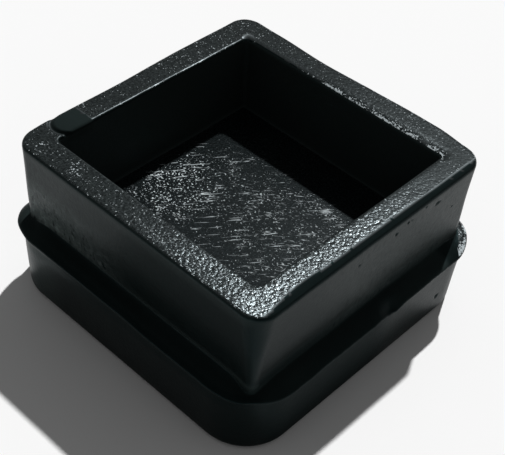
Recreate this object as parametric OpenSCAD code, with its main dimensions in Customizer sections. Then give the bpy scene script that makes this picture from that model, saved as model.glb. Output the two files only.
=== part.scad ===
// Square leg tip: one moulded rubber foot that pushes into the open end of a square tube.
// A hollow square plug fills the tube, a sloped shoulder stops at the tube's end, and a solid
// foot with large rounded corners meets the floor. Every form is one edge profile carried
// round a rounded square, so the corners stay true arcs.

/* [Plug] */
// Width of the plug across its sides at the rim, the inside width of the tube
plug_w = 35; // [24:0.5:60]
// Height of the plug from the lip round the foot up to the rim
plug_h = 11.1; // [6:0.1:18]
// Thickness of the plug's wall at the rim
wall = 3.3; // [2:0.1:5]
// How far each side leans inwards from the rim down to the lip's height
plug_taper = 0.55; // [0.1:0.05:0.9]
// Radius of the plug's upright corners at the rim
plug_corner = 2.4; // [1.8:0.1:3.6]
// Rounding of the rim's outer edge
rim_round = 0.6; // [0.2:0.05:1.1]
// Rounding of the rim's inner edge
rim_inner_round = 0.4; // [0.1:0.05:0.8]

/* [Pocket] */
// Depth of the pocket below the rim
pocket_depth = 9.5; // [4:0.1:15]
// Radius of the pocket's upright corners at the rim
pocket_corner = 0.75; // [0.7:0.05:3]
// How far each side of the pocket leans inwards from the rim down to its floor
pocket_draft = 0.3; // [0:0.05:0.4]
// Radius between the pocket's sides and its floor
pocket_fillet = 0.3; // [0.1:0.05:0.4]

/* [Foot] */
// Width of the shoulder beside the rim, a little over the wall of the tube
shoulder = 1.65; // [1.4:0.05:4]
// Slope of the shoulder's upper side, from the lip up to the plug, in degrees
shoulder_slope = 27; // [5:1:35]
// Radius of the shoulder's corners
shoulder_corner = 6.2; // [4:0.1:6.8]
// Height of the foot from the floor up to the top of the lip
foot_h = 8.2; // [6:0.1:20]
// Thickness of the thin lip round the shoulder's edge
lip_t = 0.5; // [0.3:0.05:1.2]
// How far the lip stands out past the foot's side
lip_overhang = 0.35; // [0.1:0.05:0.8]
// How far each side of the foot leans inwards from the lip down to the floor
foot_taper = 0.3; // [0:0.05:1.5]
// Rounding of the foot's lower edge
foot_round = 0.8; // [0.3:0.1:2]

/* [Gate mark] */
// Length of the flat gate mark along the rim
gate_l = 4.6; // [4:0.1:8]
// Height of the gate mark above the rim
gate_h = 0.3; // [0.15:0.05:0.6]
// Distance from the plug's corner to the near end of the gate mark
gate_start = 4.2; // [3:0.1:8]
// How far the gate mark spreads over the rim's inner edge
gate_spread = 0.2; // [0.1:0.05:0.5]

/* [Hidden] */
$fn = 64;

rim_z = foot_h + plug_h;
plug_half = plug_w / 2;
opening_half = plug_half - wall;
shoulder_half = plug_half + shoulder;
floor_z = rim_z - pocket_depth;
// Steps in each rounded edge, and how far one solid runs into the next
arc_steps = 6;
overlap = 1;
// How far the sloped shoulder runs in under the plug
seat = shoulder + plug_taper + overlap;

// The gate mark crosses the rim's wall, and its domed top sinks into the rim at the far end
gate_w = wall + gate_spread - rim_round / 2;
gate_mid = gate_spread - opening_half - gate_w / 2;
gate_near = gate_start - plug_half;
gate_crown = (pow(gate_w / 2, 2) + pow(gate_h, 2)) / (2 * gate_h);
gate_sink = atan(gate_h / gate_l);

// Points of an arc round a centre, from one angle to another
function arc(centre, r, from, to) =
    [for (i = [0:arc_steps])
        let (a = from + (to - from) * i / arc_steps)
        centre + r * [cos(a), sin(a)]];

// Edge profiles run upwards as [distance out from the nominal side, height]
foot_edge = concat(
    arc([-lip_overhang - foot_taper - foot_round, foot_round], foot_round, -90, 0),
    [[-lip_overhang, foot_h - lip_t]],
    arc([-lip_t / 2, foot_h - lip_t / 2], lip_t / 2, -90, 90 - shoulder_slope),
    [[-seat, foot_h + (seat - lip_t / 2) * tan(shoulder_slope)]]);

plug_edge = concat(
    [[-plug_taper, foot_h - overlap], [-plug_taper, foot_h]],
    arc([-rim_round, rim_z - rim_round], rim_round, 0, 90));

pocket_edge = concat(
    arc([-pocket_draft - pocket_fillet, floor_z + pocket_fillet], pocket_fillet, -90, 0),
    arc([rim_inner_round, rim_z - rim_inner_round], rim_inner_round, 180, 90),
    [[rim_inner_round, rim_z + overlap]]);

// A solid block whose side has the given edge profile all the way round a rounded square
module swept_square(half, corner, edge) {
    reach = half - corner;
    bottom = edge[0][1];
    top = edge[len(edge) - 1][1];
    outline = concat([[0, bottom]], [for (p = edge) [corner + p[0], p[1]]], [[0, top]]);
    translate([-reach, -reach, bottom]) cube([2 * reach, 2 * reach, top - bottom]);
    for (turn = [0:90:270])
        rotate(turn) translate([reach, reach, 0]) {
            rotate_extrude(angle = 90) polygon(outline);
            rotate([90, 0, 0]) linear_extrude(2 * reach) polygon(outline);
        }
}

// The low smooth tongue that the mould's gate left on the rim, round at its near end
module gate_mark() {
    intersection() {
        translate([gate_mid, gate_near + gate_w / 2, rim_z - overlap]) {
            cylinder(h = 2 * overlap, d = gate_w);
            translate([-gate_w / 2, 0, 0])
                cube([gate_w, gate_l - gate_w / 2, 2 * overlap]);
        }
        translate([gate_mid, gate_near, rim_z + gate_h])
            rotate([-90 - gate_sink, 0, 0])
                translate([0, gate_crown, -overlap])
                    cylinder(h = 2 * gate_l, r = gate_crown);
    }
}

// The whole moulding, in one piece
module leg_tip() {
    color([0.09, 0.09, 0.1]) {
        difference() {
            union() {
                swept_square(shoulder_half, shoulder_corner, foot_edge);
                swept_square(plug_half, plug_corner, plug_edge);
            }
            swept_square(opening_half, pocket_corner, pocket_edge);
        }
        gate_mark();
    }
}

leg_tip();
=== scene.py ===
# %% [markdown]
# # A square leg tip in black rubber
#
# This tip closes the open end of a square steel leg. It is one moulding with three parts to
# it: a hollow plug that is pushed into the tube, a shoulder that stops at the tube's end, and
# a solid foot with large rounded corners that stands on the floor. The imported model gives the
# sizes. This lesson builds the moulding again with the marks that a mould and some handling
# leave, and then gives the rubber its finish, the lamps and the camera.

# %% The fixed frame
import math

import bmesh
import bpy
from mathutils import Matrix, Vector, noise


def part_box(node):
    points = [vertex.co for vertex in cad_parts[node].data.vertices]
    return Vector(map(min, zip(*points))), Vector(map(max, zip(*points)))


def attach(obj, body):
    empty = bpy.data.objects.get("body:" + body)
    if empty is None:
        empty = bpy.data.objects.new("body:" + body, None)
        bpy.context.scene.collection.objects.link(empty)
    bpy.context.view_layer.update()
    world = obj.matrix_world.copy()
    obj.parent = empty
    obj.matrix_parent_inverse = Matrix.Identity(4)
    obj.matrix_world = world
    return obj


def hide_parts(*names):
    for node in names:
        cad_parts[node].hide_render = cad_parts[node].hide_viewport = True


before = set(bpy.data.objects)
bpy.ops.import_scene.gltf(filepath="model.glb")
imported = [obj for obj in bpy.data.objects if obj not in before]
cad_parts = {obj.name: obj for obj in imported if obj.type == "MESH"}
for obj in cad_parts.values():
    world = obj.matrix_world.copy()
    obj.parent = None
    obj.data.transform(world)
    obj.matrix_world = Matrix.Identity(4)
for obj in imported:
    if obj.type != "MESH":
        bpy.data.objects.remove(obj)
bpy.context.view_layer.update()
tip_low, tip_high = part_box("leg_tip")
print("the packed tip is", [round(1000 * side, 2) for side in tip_high - tip_low], "mm")

# %% [markdown]
# ## Sizes
#
# Lengths are in millimetres while the mesh is made, because the features are small, and one
# scale at the end turns the mesh into metres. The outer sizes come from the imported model's
# box. The rest are the sizes of the moulding that a box can't show. A half is measured from
# the upright axis out to a side.

# %% Sizes of the moulding
MM = 0.001
gate_height = 0.3
shoulder_half = tip_high.x / MM
rim_z = tip_high.z / MM - gate_height
plug_half = 17.5
plug_taper = 0.5
opening_half = 14.1
pocket_depth = 9.5
floor_z = rim_z - pocket_depth
lip = 0.5
lip_z = 7.85
shoulder_slope = math.radians(27)
climb = math.tan(shoulder_slope)
print(f"rim {rim_z:.1f} mm up, shoulder {2 * shoulder_half:.1f} mm wide")

# %% [markdown]
# ## Edge profiles
#
# Seen in section, the moulding is a line that runs out from under the foot, up its side, round
# the thin lip, up the sloped shoulder, up the plug and down into the pocket. The line could be
# typed in as points, but its round stretches are arcs, so one function makes them. Each point
# is a distance out from a nominal side, and a height. The shoulder's slope starts where it
# just touches the round lip, so one more function gives its height at any distance in.

# %% Arcs and the shoulder's slope
def arc(centre, radius, start, stop, steps):
    """Points of an arc as (distance out, height), from one angle in degrees to another."""
    turns = [math.radians(start + (stop - start) * i / steps) for i in range(steps + 1)]
    return [(centre[0] + radius * math.cos(a), centre[1] + radius * math.sin(a)) for a in turns]


def seat_height(inset):
    """Height of the sloped shoulder at a distance in from its outline."""
    lip_top = lip_z + lip / 2 / math.cos(shoulder_slope)
    return lip_top + climb * (inset - lip / 2)


print(f"the slope meets the plug {seat_height(shoulder_half - plug_half + plug_taper):.2f} mm up")

# %% Radii and small sizes of the edges
shoulder_corner = 6.2
plug_corner = 2.4
pocket_corner = 0.65
lip_overhang = 0.35
foot_taper = 0.3
foot_round = 0.8
root_fillet = 0.2
rim_round = 0.38
rim_inner_round = 0.3
pocket_draft = 0.3
pocket_fillet = 0.3
foot_base = -lip_overhang - foot_taper - foot_round
root_x = root_fillet - plug_taper
root_z = (seat_height(shoulder_half - plug_half - root_x)
          + root_fillet / math.cos(shoulder_slope))
print(f"the plug's foot is rounded off {root_z:.2f} mm up")

# %% The three profiles
slope_turn = math.degrees(shoulder_slope)
foot_profile = [
    (-shoulder_corner, 0),
    *arc((foot_base, foot_round), foot_round, -90, 0, 8),
    (-lip_overhang, lip_z - lip / 2),
    *arc((-lip / 2, lip_z), lip / 2, -90, 90 - slope_turn, 7),
]
plug_profile = [
    *arc((root_x, root_z), root_fillet, 270 - slope_turn, 180, 4),
    *arc((-rim_round, rim_z - rim_round), rim_round, 0, 90, 6),
]
pocket_profile = [
    *arc((rim_inner_round, rim_z - rim_inner_round), rim_inner_round, 90, 180, 5),
    *arc((-pocket_draft - pocket_fillet, floor_z + pocket_fillet), pocket_fillet, 0, -90, 4),
    (-pocket_corner, floor_z),
]
print(len(foot_profile) + len(plug_profile) + len(pocket_profile), "profile points")

# %% [markdown]
# ## Carrying a profile round a rounded square
#
# A mould is cut this way too: one cutter profile carried along the sides and round the
# corners. The spin operator does both. With no angle and a step it draws a straight side, and
# with an angle and no step it turns a corner. One side and one corner of each profile are
# enough, because a last spin copies that quarter three times. Short faces of about a third of
# a millimetre leave enough points to sculpt small marks later.

# %% Wires and quarters
side_steps = 96
corner_steps = 20
short = 0.32
same_spot = 0.001


def draw_wire(bm, points, half, corner):
    """Draws a profile as loose edges at the start of the +X side, in short pieces."""
    spots = [(half + out, corner - half, height) for out, height in points]
    verts = [bm.verts.new(spot) for spot in spots]
    for edge in [bm.edges.new(pair) for pair in zip(verts, verts[1:])]:
        cuts = int(edge.calc_length() / short)
        if cuts:
            bmesh.ops.subdivide_edges(bm, edges=[edge], cuts=cuts)


def sweep_quarter(bm, half, corner):
    """Carries the loose profile along one side and round the corner after it."""
    reach = half - corner
    loose = [e for e in bm.edges if e.is_wire]
    start = loose + list(dict.fromkeys(v for e in loose for v in e.verts))
    step = (0, 2 * reach / side_steps, 0)
    side = bmesh.ops.spin(bm, geom=start, axis=(0, 0, 1), dvec=step, steps=side_steps)
    bmesh.ops.spin(bm, geom=side["geom_last"], cent=(reach, reach, 0), axis=(0, 0, 1),
                   angle=math.pi / 2, steps=corner_steps)


print(side_steps + corner_steps, "steps in each quarter")

# %% Three bands, all the way round
bm = bmesh.new()
for profile, half, corner in (
    (foot_profile, shoulder_half, shoulder_corner),
    (plug_profile, plug_half, plug_corner),
    (pocket_profile, opening_half, pocket_corner),
):
    draw_wire(bm, profile, half, corner)
    sweep_quarter(bm, half, corner)
quarter = bm.verts[:] + bm.edges[:] + bm.faces[:]
bmesh.ops.spin(bm, geom=quarter, axis=(0, 0, 1), angle=1.5 * math.pi, steps=3,
               use_duplicate=True)
bmesh.ops.remove_doubles(bm, verts=bm.verts, dist=same_spot)
print(len(bm.faces), "faces round the three open bands")

# %% [markdown]
# ## Brushes
#
# A rubber moulding is never quite true: sides bow, edges roll over, and the mould's halves
# leave rags. A sculptor would push these in with a brush that is strong in its middle and dies
# away round it. Here each brush is a small function of distance, and a loop moves every point
# by what the brush gives there. Noise makes the slow, uneven waves.

# %% Brushes and measures
def hump(value, centre, reach):
    """1 at its centre, 0 from its reach outwards."""
    near = max(0.0, 1 - ((value - centre) / reach) ** 2)
    return near * near


def ramp(value, start, stop):
    """A smooth step from 0 at start to 1 at stop."""
    t = min(1.0, max(0.0, (value - start) / (stop - start)))
    return t * t * (3 - 2 * t)


def near_to(x, y, spot, reach):
    """A round brush seen from above: 1 on its spot, 0 from its reach outwards."""
    return hump(math.hypot(x - spot[0], y - spot[1]), 0, reach)


def sway(place, size, seed):
    """Smooth noise from about -1 to 1 over lengths of the given size."""
    return noise.noise(place / size + Vector((seed, 3.7 * seed, -seed)))


def inset(x, y):
    """Distance in from the shoulder's outline, seen from above."""
    arm = shoulder_half - shoulder_corner
    past_x, past_y = abs(x) - arm, abs(y) - arm
    if past_x > 0 and past_y > 0:
        return shoulder_corner - math.hypot(past_x, past_y)
    return shoulder_half - max(abs(x), abs(y))


print("brushes ready")

# %% [markdown]
# ## The plug's foot
#
# The plug rises from the sloped shoulder, so its lowest line drops at the corners, where the
# slope has less width to climb. The two corners on the -Y side are also sharper down there
# than at the rim, the front one most. Both are easier to shape now, while the plug is still
# an open band.

# %% A corner that changes its radius
front_base_corner, left_base_corner = 0.9, 1.7


def sharper(across, along, radius, wanted):
    """How far a corner point moves out when its corner's radius shrinks to the wanted one."""
    middle = radius - wanted
    if along * radius <= middle * across:
        return radius / across
    if across * radius <= middle * along:
        return radius / along
    both = middle * (across + along)
    return both + math.sqrt(max(0.0, both * both - 2 * middle * middle + wanted * wanted))


def base_corner(x, y, radius):
    """Radius of a plug corner at its foot: smallest at the front, unchanged at the back."""
    if y > 0:
        return radius
    return min(radius, front_base_corner if x > 0 else left_base_corner)


midway = math.sqrt(0.5)
tip_reach = sharper(midway, midway, plug_corner, front_base_corner)
print(f"sharpened to {front_base_corner} mm, a corner reaches {tip_reach:.2f} mm from its centre")

# %% Corners that sharpen downwards and a base on the slope
plug_arm = plug_half - plug_corner
for vert in bm.verts:
    x, y, z = vert.co
    if z < lip_z + 0.5 or max(abs(x), abs(y)) < opening_half + 1:
        continue
    level_inset = shoulder_half - max(abs(x), abs(y))
    past_x, past_y = abs(x) - plug_arm, abs(y) - plug_arm
    if past_x > 0 and past_y > 0:
        radius = math.hypot(past_x, past_y)
        level_inset = shoulder_half - plug_arm - radius
        wanted = radius + (base_corner(x, y, radius) - radius) * ramp(rim_z - z, 0.5, 9)
        across, along = past_x / radius, past_y / radius
        reach = sharper(across, along, radius, wanted)
        vert.co.x = math.copysign(plug_arm + reach * across, x)
        vert.co.y = math.copysign(plug_arm + reach * along, y)
    drop = climb * (inset(vert.co.x, vert.co.y) - level_inset)
    vert.co.z += drop * (1 - ramp(z, root_z + 0.4, root_z + 4))
plug_heights = [v.co.z for v in bm.verts if v.co.z > lip_z + lip / 2]
print("the plug's lowest point is", round(min(plug_heights), 2), "mm up")

# %% [markdown]
# ## Closing the skin
#
# The three bands leave four gaps. The shoulder and the rim are rings between two open loops,
# so bridge_loops fills each and subdivide_edges cuts its long faces short. The underside and
# the pocket's floor are squares, and a grid with as many steps as a side meets the sweep's
# points one by one.

# %% Shoulder, rim, pocket floor and underside
slope_cuts, rim_cuts = 6, 8


def bridge_levels(bm, low, high, cuts):
    """Joins the two open loops between two heights, and returns the new points between them."""
    loops = [e for e in bm.edges
             if e.is_boundary and all(low < v.co.z < high for v in e.verts)]
    ring = bmesh.ops.bridge_loops(bm, edges=loops)
    cut = bmesh.ops.subdivide_edges(bm, edges=ring["edges"], cuts=cuts, use_grid_fill=True)
    return [v for v in cut["geom_inner"] if isinstance(v, bmesh.types.BMVert)]


slope_points = bridge_levels(bm, lip_z, root_z + 0.2, slope_cuts)
for vert in slope_points:
    vert.co.z = seat_height(inset(vert.co.x, vert.co.y))
print(len(slope_points), "points on the shoulder's slope")
bridge_levels(bm, rim_z - 0.01, rim_z + 0.01, rim_cuts)
for reach, height in (
    (shoulder_half - shoulder_corner, 0),
    (opening_half - pocket_corner, floor_z),
):
    bmesh.ops.create_grid(bm, x_segments=side_steps, y_segments=side_steps, size=reach,
                          matrix=Matrix.Translation((0, 0, height)))
bmesh.ops.remove_doubles(bm, verts=bm.verts, dist=same_spot)
bmesh.ops.recalc_face_normals(bm, faces=bm.faces)
open_edges = sum(not e.is_manifold for e in bm.edges)
print(f"{len(bm.faces)} faces, {open_edges} open edges, {bm.calc_volume():.0f} mm3")

# %% [markdown]
# ## Finer faces where small marks come
#
# The gate mark, the pits in the wall and the tear in the lip are smaller than the faces.
# Those few places are cut finer before they are shaped, so the rest of the mesh stays light.

# %% Cutting a few places finer
def refine(bm, centre, reach):
    """Cuts each edge inside a box in three; reach is half the box's size each way."""
    low, high = Vector(centre) - Vector(reach), Vector(centre) + Vector(reach)
    inside = [e for e in bm.edges
              if all(low[k] < v.co[k] < high[k] for v in e.verts for k in range(3))]
    bmesh.ops.subdivide_edges(bm, edges=inside, cuts=2, use_grid_fill=True)


gate_x, gate_y = -15.6, -11.2
tear_y = 0.9
foot_pit_y, foot_pit_z, foot_pit_reach = 11.7, 3.1, 0.5
wall_pits = [  # place along y, height, half length, half height, depth
    (2.5, 17.7, 0.20, 0.18, 0.16),
    (9.2, 17.8, 0.38, 0.20, 0.15),
    (4.2, 18.2, 0.16, 0.14, 0.12),
    (4.8, 18.2, 0.14, 0.12, 0.10),
    (7.0, 18.6, 0.18, 0.12, 0.10),
    (-3.1, 17.1, 0.16, 0.14, 0.10),
    (12.6, 15.2, 0.14, 0.12, 0.08),
]
refine(bm, (gate_x, gate_y, rim_z), (2.3, 3.0, 0.7))
for y, z, *_ in wall_pits:
    refine(bm, (plug_half - 0.1, y, z), (0.5, 0.8, 0.7))
refine(bm, (shoulder_half - 0.5, foot_pit_y, foot_pit_z), (0.6, 0.8, 0.8))
refine(bm, (shoulder_half - 0.3, tear_y, lip_z), (0.8, 1.8, 0.5))
print(len(bm.faces), "faces after the finer cuts")

# %% [markdown]
# ## The rim
#
# The rim is the softest edge. The -X side bows out towards the far corner, the +Y side waves
# in and out, the edge on the +X side is rolled over, and the +Y side's inner edge is worn
# down, where a tube's end or a thumb has pressed it. Each flaw gets a function that says how
# far it shifts a point, and one loop adds them up.

# %% Sides that bow and corners that lean
corner_reach = 4.2
corner_leans = [  # place of the corner, lean along x, lean along y
    ((-17.2, -17.2), 0.24, 0.0),
    ((17.2, 17.2), -0.05, -0.22),
    ((-17.2, 17.2), -0.10, 0.10),
]


def bowed(x, y, z):
    """Shift of the two far sides, which grows from the shoulder up to the rim."""
    outer = 0.36 * ramp(y, -6, 8) * ramp(-x, 14.8, 16.8)
    inner = 0.2 * ramp(-x, 13, 14) * (1 - ramp(-x, 15, 16.5))
    wave = 0.25 * ramp(x, 0, 8) - 0.33 * ramp(x, 11, 14.5) - 0.26 * hump(x, -5, 7)
    shift = Vector((-outer - inner, wave * ramp(y, 14.8, 16.8), 0))
    return shift * ramp(z, root_z + 1, rim_z - 1)


def leaning(x, y, z):
    """Shift of the three corners that lean, which dies away round each of them."""
    shift = Vector((0, 0, 0))
    for spot, along_x, along_y in corner_leans:
        shift += Vector((along_x, along_y, 0)) * near_to(x, y, spot, corner_reach)
    return shift * ramp(z, root_z, rim_z - 3)


print(len(corner_leans), "corners lean")

# %% Rolled and worn edges
inner_band = 13.5


def roll_start(y):
    """Where the rolled edge starts on the +X side of the rim."""
    near_front = 0.35 * ramp(-y, 13, 16) - 0.2 * hump(y, -10.5, 3)
    return 16.55 + near_front + 0.15 * ramp(y, 5, 10)


def rolled_down(x, y):
    """Drop of the rolled +X edge, and of the front corner with it."""
    start = roll_start(y)
    rolled = 0.12 * max(0.0, (x - start) / (plug_half - start)) ** 2
    return rolled + 0.03 * max(0.0, x - 14) * near_to(x, y, (17, -17), 8)


def worn_down(x, y):
    """Drop of the +Y side's inner edge, except in the pocket's corners."""
    if y <= inner_band:
        return 0.0
    start = 15.1 + 0.3 * ramp(x, -10, 10)
    worn = min(1.0, max(0.0, (start - y) / (start - opening_half)))
    return 0.4 * worn * worn * (1 - ramp(abs(x), 13.0, 14.8))


for vert in bm.verts:
    x, y, z = vert.co
    drop = (rolled_down(x, y) + worn_down(x, y)) * ramp(z, rim_z - 3, rim_z - 0.4)
    vert.co += bowed(x, y, z) + leaning(x, y, z) - Vector((0, 0, drop))
print("rim shaped")

# %% [markdown]
# ## The lip
#
# The lip round the shoulder is half a millimetre thick, and the mould's two halves met on it.
# It is lifted and drawn out at the left corner, lifted at the right and front corners, ragged
# all along, and torn in one place on the +X side. On the -Y side the rubber shrank as it
# cooled, which drew the lip and the shoulder a little up and in. Brushes that fade away from
# a spot could be replaced by a lattice, but each brush is one plain line that says where the
# flaw is and how large.

# %% The -Y side drawn up and in
lip_lift, lip_in = 0.33, 0.12
for vert in bm.verts:
    x, y, z = vert.co
    if z < 6.5 or z > root_z + 6 or y > -15:
        continue
    shrunk = ramp(x, -19, -12) * (1 - ramp(x, 14, 17))
    shrunk *= ramp(z, 6.5, 7.4) * (1 - ramp(z, root_z + 0.5, root_z + 5.5))
    lift = lip_lift + 0.18 * (1 - ramp(x, 1, 5))
    lift *= 1 - 0.5 * ramp(inset(x, y), 0.5, 2.0)
    inward = lip_in + 0.06 * ramp(inset(x, y), 0.6, 2.0)
    vert.co += Vector((0, inward, lift + climb * inward)) * shrunk
print(f"the -Y lip is drawn up by {lip_lift + climb * lip_in:.2f} mm, and more towards -X")

# %% Lifts, rags and a tear
apex = shoulder_half - shoulder_corner * (1 - math.sqrt(0.5))
left_tip, right_tip, front_tip = (-apex, -apex), (apex, apex), (apex, -apex)
lifts = [  # place on the lip, reach, lift, which is negative where the lip sinks
    (left_tip, 4.4, 0.5),
    (right_tip, 4.5, 0.40),
    (front_tip, 3.0, 0.25),
    ((shoulder_half, -12), 4.0, -0.12),
    ((shoulder_half, 10.5), 4.5, 0.16),
    ((shoulder_half, 2.6), 2.2, -0.36),
]


def lifted(x, y):
    """How far the lip is bent up, seen from above."""
    return sum(lift * near_to(x, y, spot, reach) for spot, reach, lift in lifts)


def drawn_out(x, y):
    """How far the lip's thin edge stands out: two flares, and rags that are longest at +X."""
    level = Vector((x, y, 0))
    flare = 0.24 * near_to(x, y, left_tip, 3.2) + 0.10 * near_to(x, y, right_tip, 4.0)
    rags = 0.05 * sway(level, 1.1, 2) + 0.03 * sway(level, 0.4, 5)
    return flare + rags * (0.35 + 0.65 * ramp(x, 17.0, 18.5))


def torn(x, y):
    """1 in the middle of the tear on the +X side, with one steep end."""
    return (1 - ramp(y, 2.6, 3.1)) * ramp(y, -0.5, 2.4) * ramp(x, 17.0, 18.5)


print(len(lifts), "places lift or sink")

# %% Shaping the lip
# Only the skin near the outline moves, and the thin lip moves most. At the left tip the
# lip's underside rises further, which leaves it thinner there.
for vert in bm.verts:
    x, y, z = vert.co
    edge = 1 - ramp(inset(x, y), 0.25, 1.7)
    if not edge or z > root_z or z < 4:
        continue
    out = Vector((x, y, 0)).normalized()
    thin = edge * ramp(z, lip_z - 0.4, lip_z - 0.2)
    underside = 1 - ramp(z, lip_z - 0.3, lip_z - 0.1)
    brim = 0.10 * edge * ramp(-y, 17, 18) * (z > lip_z)
    vert.co += out * (brim + drawn_out(x, y) * thin)
    vert.co.z += lifted(x, y) * edge * ramp(z, 5.5, 7.4)
    vert.co.z += 0.18 * near_to(x, y, left_tip, 3.2) * thin * underside
    vert.co -= Vector((0.16, 0, 0.12)) * torn(x, y) * thin
print("lip shaped")

# %% [markdown]
# ## Pits
#
# Air caught against the mould left a few pits in the +X wall, most of them close under the
# rim, and one in the foot. They could be a bump in the material, but a pit this deep has an
# edge that catches the light, so each is pressed into the skin.

# %% Pits in the wall and the foot
pit_edge = 1.6
for y, z, long, tall, deep in wall_pits:
    for vert in bm.verts:
        if vert.co.x > plug_half - 0.7 and vert.co.z > 10:
            away = math.hypot((vert.co.y - y) / long, (vert.co.z - z) / tall)
            vert.co.x -= deep * hump(away, 0, pit_edge)
for vert in bm.verts:
    away = math.hypot(vert.co.y - foot_pit_y, vert.co.z - foot_pit_z)
    if vert.co.x > 17:
        vert.co.x -= 0.16 * hump(away, 0, foot_pit_reach)
print(len(wall_pits) + 1, "pits pressed in")

# %% [markdown]
# ## The gate mark
#
# Rubber entered the mould here. The sprue was torn off and left a low, smooth tongue across
# the rim, round at its near end and sinking into the rim at its far end, with a groove round
# the nose. It could be a separate lump, but it is the same skin, so the rim's points are
# lifted.

# %% The tongue on the rim
gate_near, gate_far, gate_half = -13.3, -9.4, 1.65
gate_sunk = gate_far + 1.0


def off_tongue(x, y):
    """Distance from the tongue's middle line, measured round its nose."""
    return math.hypot(x - gate_x, max(0.0, gate_near + gate_half - y))


for vert in bm.verts:
    x, y, z = vert.co
    if z < rim_z - 1.2 or abs(y - gate_y) > 3.4 or abs(x - gate_x) > 2.6:
        continue
    away = off_tongue(x, y)
    near_rim = ramp(z, rim_z - 1.2, rim_z - 0.35)
    body = (1 - ramp(away, gate_half - 0.28, gate_half)) * near_rim
    body *= 1 - ramp(y, gate_near + 1.6, gate_sunk)
    crown = 1 - 0.35 * (away / gate_half) ** 2
    nose = 1 - ramp(y, gate_near + 0.8, gate_near + 2.2)
    groove = 0.16 * hump(away, gate_half + 0.14, 0.3) * nose * near_rim
    vert.co.x += 0.15 * body * ramp(x, -14.8, -14.3)
    vert.co.z += gate_height * body * crown - groove
print(f"the tongue has sunk into the rim {gate_sunk - gate_near:.1f} mm from its nose")

# %% [markdown]
# ## Slow waves
#
# No skin comes out of a mould quite flat. Two sizes of noise, a few hundredths of a
# millimetre high, break up the long reflections on the sides and the straight edge of the rim.
# The sides move out and in, the rim's top moves up and down, and the underside stays flat.

# %% Waves over the whole skin
for vert in bm.verts:
    x, y, z = vert.co
    push = 0.035 * sway(vert.co, 6.0, 11) + 0.012 * sway(vert.co, 2.2, 17)
    if z > rim_z - 0.02:
        vert.co.z += 0.6 * push
    elif z > 1:
        vert.co += Vector((x, y, 0)).normalized() * push
bmesh.ops.recalc_face_normals(bm, faces=bm.faces)
print("highest point", round(max(v.co.z for v in bm.verts), 2), "mm")

# %% [markdown]
# ## Where each finish goes
#
# The mould's faces that point up were spark eroded, and gave the rim a coarse glittering
# grain. The pocket's floor is rougher still and has been scuffed by a tool. The sides slid
# out of the mould and stayed satin. Three materials share the mesh, and painted attributes
# carry what changes slowly over it: how deep the grain is, how many pale flecks are painted
# on as glints, how far an edge has worn matt, which on the rim also paints its colour darker
# as shade, how pale a film of painted light lies on the satin, and how dusty a wall is, where
# the paler colour is partly painted light. On the pocket's floor the dust layer holds no dust:
# it says where pale streaks are painted on as glints. Textures could hold all this, but the
# points are close enough together, and an attribute needs no unwrapping.

# %% Layers and plain zones
SATIN, GRAINED, SCUFFED = 0, 1, 2
names = ("grain", "painted_glints", "matt_and_painted_shade", "film_and_painted_light", "dust_and_painted_light")
grain, painted_glints, matt_and_painted_shade, film_and_painted_light, dust_and_painted_light = (bm.verts.layers.float.new(name) for name in names)
bm.normal_update()
front = (16.0, -16.0)


def in_opening(x, y):
    """Whether a place lies within the pocket's opening as seen from above, at any height."""
    return max(abs(x), abs(y)) < opening_half


def on_tongue(x, y, z):
    """1 on the gate mark's tongue, 0 off it and where it has sunk into the rim."""
    if z < rim_z - 1.6 or not gate_near - 0.2 < y < gate_far + 0.5:
        return 0.0
    nose = 1 - ramp(off_tongue(x, y), gate_half - 0.05, gate_half + 0.25)
    return nose * (1 - ramp(y, gate_far - 0.1, gate_far + 0.3))


print("layers", ", ".join(names))

# %% Zones on the rim
def sloping(vert):
    """0 where the skin is level, 1 where it slopes by more than about 25 degrees."""
    return 1 - ramp(vert.normal.z, 0.90, 0.985)


def painted_edge_glints(vert):
    """Pale flecks painted on the rim's inner edge as glints: broken at -X, in clumps at +Y."""
    x, y, z = vert.co
    level = Vector((x, y, 0))
    left = (x < -inner_band) * (0.5 + 0.9 * sway(level, 1.3, 8)) * (1 - ramp(y, 12, inner_band))
    clumps = max(0.0, 1.1 + 2.4 * sway(level, 1.5, 9))
    both = left + (y > inner_band) * ramp(x, -8, 2) * clumps
    return min(1.0, max(0.0, both)) * sloping(vert)


print("zones ready")

# %% Grain and painted glints on the rim
# Both are strong round the front corner and die away over most of the rim's width. The
# sparkle is painted glints: pale flecks, thickest where the lamp's highlight falls and at
# scratches.
for vert in bm.verts:
    x, y, z = vert.co
    bare = 1 - on_tongue(x, y, z)
    lit = near_to(x, y, front, 27)
    softer = 0.16 * near_to(x, y, (17, 17), 13) + 0.10 * near_to(x, y, front, 7)
    vert[grain] = (0.36 + 0.60 * lit - softer) * bare
    scattered_glints = 0.3 + 0.2 * ramp(x, 0, 8) * (y > 13) + 0.25 * ramp(y, -2, 8) * (x < -13)
    scratch_glints = near_to(x, y, (-14.1, -16.0), 1.5) + near_to(x, y, (-9.2, -15.4), 2.2)
    vert[painted_glints] = (scattered_glints + 0.7 * lit + scratch_glints) * bare
    vert[painted_glints] += (1.6 + 1.2 * (y > inner_band)) * painted_edge_glints(vert)
print("rim painted")

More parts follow.
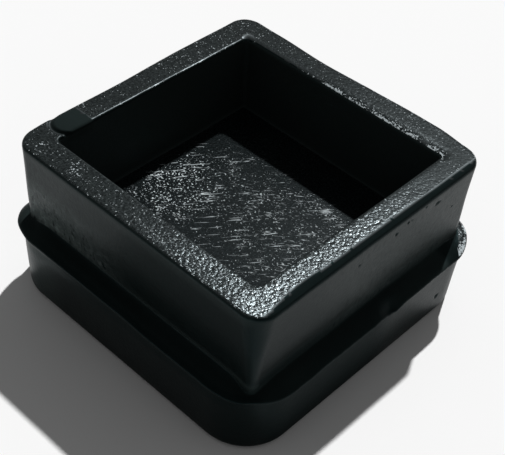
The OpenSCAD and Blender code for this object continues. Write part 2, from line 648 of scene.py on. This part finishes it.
# %% Grain and painted glints on the pocket's floor and the right lip
# The floor's test has no lower end, so it also takes in the middle of the underside. Pale
# flecks and streaks are painted on as glints only where the lamp reaches the floor, most in a
# clump towards -X, and the dust layer says where the streaks go.
for vert in bm.verts:
    x, y, z = vert.co
    if z < floor_z + 0.5 and in_opening(x, y):
        lamp_reaches = ramp(x, -13.0, -11.4) * (1 - ramp(y, 6.8, 8.8))
        clump = near_to(x, y, (-9.5, -2.5), 9)
        glint_streak_share = ramp(0.77 * x + 0.64 * y, -5, 4)
        vert[dust_and_painted_light] = glint_streak_share
        # Less grain towards the front corner paints the floor's colour darker there as shade, and
        # thins the painted glints.
        vert[grain] = 1 - 0.8 * near_to(x, y, (13, -13), 12)
        vert[painted_glints] = (0.45 + 0.2 * glint_streak_share + 0.5 * clump) * vert[grain] * lamp_reaches
    # The right lip's corner is rough, with painted glints where the lamp reaches it.
    rough_lip_and_glints = near_to(x, y, (18.5, 18.5), 4.5) * (z < root_z)
    vert[grain] = max(vert[grain], rough_lip_and_glints)
    vert[painted_glints] = max(vert[painted_glints], 1.1 * rough_lip_and_glints)
print("pocket floor and right lip painted")

# %% Matt edges, painted darker on the grained rim as shade
# Worn matt are the rim's rounded edges, the rolled +X edge, the tongue, and the plug's foot and
# the solid foot on the +X side. The foot of the pocket's walls is matt from the mould, and its
# test takes in the middle of the underside. On the grained rim the same layer paints the colour
# darker as shade on the rounded edges, and thins the painted glints.
for vert in bm.verts:
    x, y, z = vert.co
    start = roll_start(y)
    rolled = ramp(x, start - 0.15, start + 0.25)
    edge = (y > -16.4) * sloping(vert) - painted_edge_glints(vert) * (z > rim_z - 0.8)
    edge = max(edge, rolled) * ramp(vert.normal.z, 0.78, 0.92)
    far_corner = near_to(x, y, (-14.2, 14.2), 0.9)
    on_rim = ramp(z, rim_z - 1.6, rim_z - 0.9) * max(edge, on_tongue(x, y, z), far_corner)
    root = hump(z, root_z + 0.1, 1.6) * ramp(x, 15.5, 16.5)
    root *= ramp(y, -17.2, -16) * (1 - ramp(y, 11, 13))
    foot_front = 0.5 * ramp(x, 17.5, 18.5) * (1 - ramp(y, -1, 4)) * (z < lip_z + 0.2)
    pocket_foot = (z < floor_z + 0.6) * in_opening(x, y)
    vert[matt_and_painted_shade] = max(on_rim, root, foot_front, pocket_foot)
print("matt edges painted")

# %% Dust and painted light on the plug's walls
# It lies thickest low on the -Y wall towards -X, and thinly on the rest, away from the front.
# Its paler colour is partly dust and partly painted light, which lifts the lower walls where
# they mirror the dark shoulder and the tip's shadow.
for vert in bm.verts:
    x, y, z = vert.co
    if not root_z < z < rim_z - 0.5 or max(abs(x), abs(y)) <= plug_half - 1:
        continue
    if abs(vert.normal.z) < 0.5:
        low_left_dust_and_light = 0.9 * ramp(-x, -2, 14) * (y < -15)
        low_left_dust_and_light *= 1 - 0.45 * ramp(z, root_z + 0.4, root_z + 2.6)
        low_left_dust_and_light *= 1 - ramp(z, root_z + 3.5, root_z + 7.5)
        vert[dust_and_painted_light] = max(0.16 * ramp(y, -13, 0), 0.08 * ramp(-x, 3, 14), low_left_dust_and_light)
print("dust painted")

# %% Film of painted light in the pocket, on the shoulder's slope and on the foot
# The pocket's test takes in the middle of the underside here too. The film is a paler colour
# painted on as light: it lifts the pocket's walls, the shaded shoulder towards +Y and -X, a
# highlight line along the -Y wall's foot, the foot's left end and the -Y wall's top edge, and it
# makes the tongue a little paler.
for vert in bm.verts:
    x, y, z = vert.co
    slope = (1 - ramp(inset(x, y), 2.1, 2.6)) * ramp(z, 7.6, 7.8) * (1 - ramp(z, 9.2, 9.4))
    slope_painted_light = 0.22 + 0.35 * ramp(y, 2, 11) + 0.15 * ramp(-x, 8, 15)
    slope_painted_light *= 1 - ramp(x, 12, 14) * ramp(y, 11.5, 12.5)
    # Towards +X the painted light stops short of the -Y lip's edge, which stays dark.
    if y < -16.5:
        slope_painted_light *= 1 - ramp(x, -15, -9) * (1 - ramp(inset(x, y), 0.3, 0.8))
    pocket_painted_light = float(max(abs(x), abs(y)) < opening_half + 0.5 and z < rim_z - 0.3)
    junction_painted_highlight = 0.6 * hump(z, root_z + 0.40, 0.5) * (y < -16.0) * ramp(x, -19, -10)
    foot_left_painted_light = 0.9 * ramp(-x, 8, 14) * (y < -15) * (z < lip_z)
    front_edge_painted_light = 0.3 * ramp(z, rim_z - 1.6, rim_z - 0.9) * ramp(-y, 16.8, 17.3)
    tongue = 0.38 * on_tongue(x, y, z)
    vert[film_and_painted_light] = max(slope_painted_light * slope, pocket_painted_light, junction_painted_highlight, foot_left_painted_light, front_edge_painted_light, tongue)
print("film painted")

# %% [markdown]
# ## Three finishes on one mesh
#
# The finishes could fade into each other in one large material. Here each face has one of
# three, because the real borders are sharp: the spark-eroded skin stops at an edge. A little
# noise keeps the borders along the rolled edge and at the tongue's end from running straight.

# %% A finish for each face
for face in bm.faces:
    x, y, z = face.calc_center_median()
    level = Vector((x, y, 0))
    face.material_index = SATIN
    tongue_end = gate_far + 0.4 * sway(level, 0.6, 21)
    smooth = off_tongue(x, y) < gate_half + 0.05 and gate_near < y < tongue_end
    rolled = x > roll_start(y) + 0.2 + 0.2 * sway(level, 0.5, 13)
    if face.normal.z > 0.8 and z > rim_z - 1.4 and not smooth and not rolled:
        face.material_index = GRAINED
    elif face.normal.z > 0.9 and z < floor_z + 0.06 and in_opening(x, y):
        face.material_index = SCUFFED
    # The grained patch at the right lip's corner ends where the lamp's light reaches past the
    # plug, so its painted glints stop at the shadow.
    elif face.normal.z > 0.6 and z < root_z and 0.766 * x + 0.643 * y > 23.4:
        face.material_index = GRAINED
slots = [face.material_index for face in bm.faces]
print("satin, grained and scuffed faces:", [slots.count(k) for k in (SATIN, GRAINED, SCUFFED)])

# %% [markdown]
# ## From millimetres to a piece in the frame
#
# One scale turns the mesh into metres. The piece rides on the frame's root body and stands in
# for the imported tip.

# %% The finished piece
bmesh.ops.scale(bm, vec=(MM, MM, MM), verts=bm.verts)
mesh = bpy.data.meshes.new("moulded_tip")
bm.to_mesh(mesh)
bm.free()
mesh.shade_smooth()
moulded_tip = bpy.data.objects.new("moulded_tip", mesh)
bpy.context.scene.collection.objects.link(moulded_tip)
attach(moulded_tip, "root")
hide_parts("leg_tip")
print("the piece has", len(mesh.polygons), "faces")

# %% [markdown]
# ## Shader sums
#
# A material's pattern is arithmetic on numbers that change over the surface. It could be wired
# by hand, node by node. Here a small class wraps one output socket, so that the pattern is
# written as a sum and each operator adds its Math node.

# %% A socket that can be added and multiplied
class Value:
    """One number that changes over a surface: an output socket of a node in a finish."""

    def __init__(self, finish, socket):
        self.finish = finish
        self.socket = socket

    def math(self, operation, *terms):
        return self.finish.node("ShaderNodeMath", {"operation": operation},
                                dict(enumerate(terms)))

    def __add__(self, other):
        return self.math("ADD", self, other)

    def __sub__(self, other):
        return self.math("SUBTRACT", self, other)

    def __rsub__(self, other):
        return self.math("SUBTRACT", other, self)

    def __mul__(self, other):
        return self.math("MULTIPLY", self, other)

    __radd__ = __add__
    __rmul__ = __mul__

    def most(self, other):
        return self.math("MAXIMUM", self, other)

    def between(self, low, high):
        """0 below low, 1 above high and smooth in the middle."""
        return self.finish.node("ShaderNodeMapRange", {"interpolation_type": "SMOOTHSTEP"},
                                {"Value": self, "From Min": low, "From Max": high}, "Result")


print("sums ready")

# %% [markdown]
# ## A finish under construction
#
# Every finish starts from a Principled shader and the place on the piece, and adds nodes to
# them. One method adds any node, so each pattern below is a line or two. Object coordinates
# are in metres, so a noise that is given as so many waves to the millimetre is scaled up.

# %% A material, its shader and its patterns
# A Mix node has sockets for numbers, vectors and colours: these are the places of the colour
# ones, three in and one out.
MIX_FACTOR, MIX_FIRST, MIX_SECOND, MIX_COLOUR = 0, 6, 7, 2


class Finish:
    """A material, its Principled shader and the place on the piece that patterns read."""

    def __init__(self, name):
        self.material = bpy.data.materials.new(name)
        self.material.use_nodes = True
        self.tree = self.material.node_tree
        self.skin = self.tree.nodes["Principled BSDF"]
        self.place = self.node("ShaderNodeTexCoord", output="Object")

    def node(self, kind, settings=None, sockets=None, output=0):
        """Adds any node: its settings first, then the values or links of its sockets."""
        node = self.tree.nodes.new(kind)
        for name, value in (settings or {}).items():
            setattr(node, name, value)
        for name, value in (sockets or {}).items():
            self.feed(node.inputs[name], value)
        return Value(self, node.outputs[output])

    def feed(self, slot, value):
        """Links a socket to a value that changes, or sets it to one that doesn't."""
        if isinstance(value, Value):
            self.tree.links.new(value.socket, slot)
        else:
            slot.default_value = value

    def coat(self, **sockets):
        """Feeds the Principled shader's own sockets, named with _ for each space."""
        for name, value in sockets.items():
            self.feed(self.skin.inputs[name.replace("_", " ")], value)

    def noise(self, per_mm, detail=2.0, rough=0.5, place=None):
        return self.node("ShaderNodeTexNoise", sockets={
            "Vector": place or self.place, "Scale": per_mm / MM,
            "Detail": detail, "Roughness": rough})

    def stretched(self, turn, shrink):
        """The place, turned about the upright axis and shrunk along one or more axes."""
        turned = self.node("ShaderNodeMapping", sockets={
            "Vector": self.place, "Rotation": (0, 0, math.radians(turn))})
        return self.node("ShaderNodeMapping", sockets={"Vector": turned, "Scale": shrink})

    def painted(self, name):
        return self.node("ShaderNodeAttribute", {"attribute_name": name}, output="Fac")

    def blend(self, factor, first, second):
        """The first colour where the factor is 0, and the second where it is 1."""
        return self.node("ShaderNodeMix", {"data_type": "RGBA"}, {
            MIX_FACTOR: factor, MIX_FIRST: first, MIX_SECOND: second}, MIX_COLOUR)

    def bump(self, height_mm):
        """Turns a height in millimetres into a normal."""
        return self.node("ShaderNodeBump", sockets={"Height": height_mm, "Distance": MM},
                         output="Normal")


print("finishes can be built")

# %% [markdown]
# ## The satin finish
#
# The sides are smooth, slightly cloudy rubber that mirrors the paper it stands on softly. A
# real one gets this from a polished mould. The shader keeps the base nearly black, lets a weak
# reflection do the work, and clouds its roughness and its skin with slow noise. Fine upright
# scratches come from pulling the tip out of the mould. Where the dust layer was painted, a paler
# colour clings in blots and upright streaks, and small nicks in it show the rubber: it is partly
# dust and partly painted light. The film is one even, slightly paler colour, painted on as light.

# %% Satin sides
TINT = (0.80, 0.95, 1.0, 1)
COOL = (0.42, 0.93, 1.0, 1)
satin = Finish("satin_rubber")
clouds = satin.noise(0.45, 3.0)
mottle = satin.noise(2.2, 3.0, 0.6)
fine = satin.noise(5.5, 3.0, 0.7)
upright = satin.noise(4.5, 3.0, 0.7, satin.stretched(0, (1, 1, 0.10)))
blots = satin.noise(1.6, 4.0, 0.7).between(0.48, 0.66)
nicks = satin.noise(2.6, 2.0, 0.5, satin.stretched(0, (1, 1, 0.35))).between(0.58, 0.65)
clinging = 0.35 + 0.45 * blots + 0.3 * upright.between(0.5, 0.7) - 0.7 * nicks
bare = satin.blend(clouds, (0.0026, 0.0042, 0.0041, 1), (0.0042, 0.0060, 0.0058, 1))
# Paler where the dust layer is high: partly dust, partly painted light.
dusty_and_lit = satin.blend(satin.painted("dust_and_painted_light") * clinging, bare, (0.1500, 0.1800, 0.1750, 1))
satin.coat(
    Base_Color=satin.blend(satin.painted("film_and_painted_light"), dusty_and_lit, (0.0220, 0.0290, 0.0280, 1)),
    Roughness=0.31 + 0.12 * mottle + 0.5 * satin.painted("matt_and_painted_shade"),
    Normal=satin.bump(0.020 * mottle + 0.0075 * fine + 0.0060 * upright),
    Specular_IOR_Level=0.092,
    Specular_Tint=COOL,
)
print(len(satin.tree.nodes), "nodes in the satin finish")

# %% [markdown]
# ## The grained finish
#
# Sparks leave a field of tiny pits and crests in a mould. On the rubber each crest is a small
# mirror that flashes when it faces between the lamp and the eye. A Voronoi pattern gives round
# crests with creases between them, and noise makes them uneven. Pale flecks painted on the
# highest crests stand in for their glints, and the worn edges are painted darker as shade.

# %% Grained rim
grained = Finish("grained_rubber")
deep = grained.painted("grain")
bright = grained.painted("painted_glints")
dull_and_shaded = grained.painted("matt_and_painted_shade")
crest = grained.node("ShaderNodeTexVoronoi", sockets={
    "Vector": grained.place, "Scale": 2.8 / MM}, output="Distance")
grit = grained.noise(5.0, 2.0, 0.6)
patches = grained.noise(0.8, 2.0, 0.5)
# Pale flecks painted on the highest crests as glints.
painted_glint_flecks = (grit + 0.09 * bright + 0.08 * patches - 0.15 * dull_and_shaded).between(0.735, 0.80)
speckle = grained.noise(4.0, 3.0, 0.7).between(0.38, 0.64)
# The matt layer paints the base darker here, as shade on the rim's worn edges.
rubber = grained.blend(speckle - dull_and_shaded, (0.0030, 0.0042, 0.0042, 1), (0.0200, 0.0250, 0.0250, 1))
grained.coat(
    Base_Color=grained.blend(painted_glint_flecks, rubber, (0.50, 0.56, 0.58, 1)),
    Roughness=0.21 + 0.70 * dull_and_shaded,
    Normal=grained.bump(deep * (0.036 * (1 - crest * crest) + 0.036 * grit)),
    Specular_IOR_Level=0.35,
    Specular_Tint=TINT,
)
print(len(grained.tree.nodes), "nodes in the grained finish")

# %% [markdown]
# ## The scuffed floor
#
# The pocket's floor has the same kind of grain, dragged into short streaks where something
# scraped it, and pale flecks and streaks painted on it stand in for glints. Streaks are noise
# that is read through a turned and squeezed set of coordinates, once for each direction of the
# scraping. Fine soil greys the rubber between the marks, and is painted darker towards the front
# corner as shade.

# %% Scuffed pocket floor
scuffed = Finish("scuffed_rubber_painted_glints")
deep = scuffed.painted("grain")
glint_paint = scuffed.painted("painted_glints")
streak_glint_paint = scuffed.painted("dust_and_painted_light")
crumbs = scuffed.noise(4.0, 3.0, 0.65)
drawn = scuffed.noise(5.2, 2.0, 0.6, scuffed.stretched(-36, (0.13, 1, 1)))
steep = scuffed.noise(3.6, 2.0, 0.6, scuffed.stretched(-54, (0.10, 1, 1)))
uneven = 0.20 * scuffed.noise(0.35, 2.0, 0.5)
# Flecks, streaks and lines: bumps that are also painted pale as glints.
flecks = (crumbs + 0.13 * glint_paint + uneven).between(0.785, 0.840)
streaks = 0.75 * streak_glint_paint * (drawn + 0.10 * glint_paint + uneven).between(0.79, 0.86)
lines = (steep + 0.05 * glint_paint + uneven).between(0.77, 0.83)
marks = flecks.most(streaks).most(0.7 * lines)
# Darker where the grain is low, towards the front corner: painted shade.
soil_and_corner_shade = scuffed.noise(4.5, 3.0, 0.7).between(0.40, 0.65) * (0.15 + 0.85 * deep)
soil_colour_and_corner_shade = scuffed.blend(soil_and_corner_shade, (0.0025, 0.0038, 0.0040, 1), (0.0125, 0.0165, 0.0175, 1))
scuffed.coat(
    Base_Color=scuffed.blend(glint_paint * marks, soil_colour_and_corner_shade, (0.86, 0.94, 0.97, 1)),
    Roughness=0.12 + 0.05 * deep,
    Normal=scuffed.bump(deep * (0.012 * crumbs + 0.010 * drawn + 0.050 * marks)),
    Specular_IOR_Level=0.25,
    Specular_Tint=TINT,
)
for finish in (satin, grained, scuffed):
    mesh.materials.append(finish.material)
print([m.name for m in mesh.materials])

# %% [markdown]
# ## Camera
#
# The camera looks down at about forty three degrees, a hand's breadth from the tip, with a
# slight roll. It could be given a place and three turns, but a point to aim at, two angles and
# a distance are easier to picture. From so near, the front corner looks larger than the far
# one.

# %% The camera
aim = Vector((0.58, 0.49, 8.04)) * MM
azimuth, elevation, roll = math.radians(40.01), math.radians(43.186), math.radians(5.409)
distance = 126.79 * MM
level = math.cos(elevation)
back = Vector((math.sin(azimuth) * level, -math.cos(azimuth) * level, math.sin(elevation)))
camera_data = bpy.data.cameras.new("camera")
camera_data.sensor_width = 36
camera_data.lens = 82.14
camera_data.clip_start = 0.01
camera = bpy.data.objects.new("camera", camera_data)
bpy.context.scene.collection.objects.link(camera)
camera.location = aim + back * distance
camera.rotation_mode = "QUATERNION"
camera.rotation_quaternion = (back.to_track_quat("Z", "Y")
                              @ Matrix.Rotation(roll, 3, "Z").to_quaternion())
bpy.context.scene.camera = camera
print("the camera is", round(1000 * camera.location.length), "mm from the foot")

# %% [markdown]
# ## Paper and lamps
#
# Black rubber has almost no colour of its own: what shows on it is what it mirrors. The white
# paper under it is mirrored in the sides, bright where the lamp reaches it and dark in the
# tip's shadow. One small far lamp, high behind, draws the shadow in the pocket and makes the
# grain glitter. A weak even sky fills the rest.

# %% Floor
paper_half_m = 1.5
floor_bm = bmesh.new()
bmesh.ops.create_grid(floor_bm, x_segments=1, y_segments=1, size=paper_half_m)
floor_mesh = bpy.data.meshes.new("floor")
floor_bm.to_mesh(floor_mesh)
floor_bm.free()
floor = bpy.data.objects.new("floor", floor_mesh)
bpy.context.scene.collection.objects.link(floor)
paper = Finish("white_paper")
paper.coat(Base_Color=(0.95, 0.95, 0.95, 1), Roughness=1.0)
floor_mesh.materials.append(paper.material)
print("floor", floor.dimensions.x, "m wide")

# %% Lamp and sky
towards_lamp = Vector((-0.253, 0.666, 1))
sun_data = bpy.data.lights.new("key", "SUN")
sun_data.energy = 3.3
sun_data.angle = math.radians(1.5)
sun = bpy.data.objects.new("key", sun_data)
sun.rotation_mode = "QUATERNION"
sun.rotation_quaternion = towards_lamp.to_track_quat("Z", "Y")
bpy.context.scene.collection.objects.link(sun)

sky_strength = 0.15
world = bpy.data.worlds.new("studio")
world.use_nodes = True
sky = world.node_tree.nodes["Background"].inputs
sky["Color"].default_value = (1, 1, 1, 1)
sky["Strength"].default_value = sky_strength
bpy.context.scene.world = world
bpy.context.scene.view_settings.view_transform = "Standard"
print("lamp", round(sun_data.energy, 2), "and sky", sky_strength)
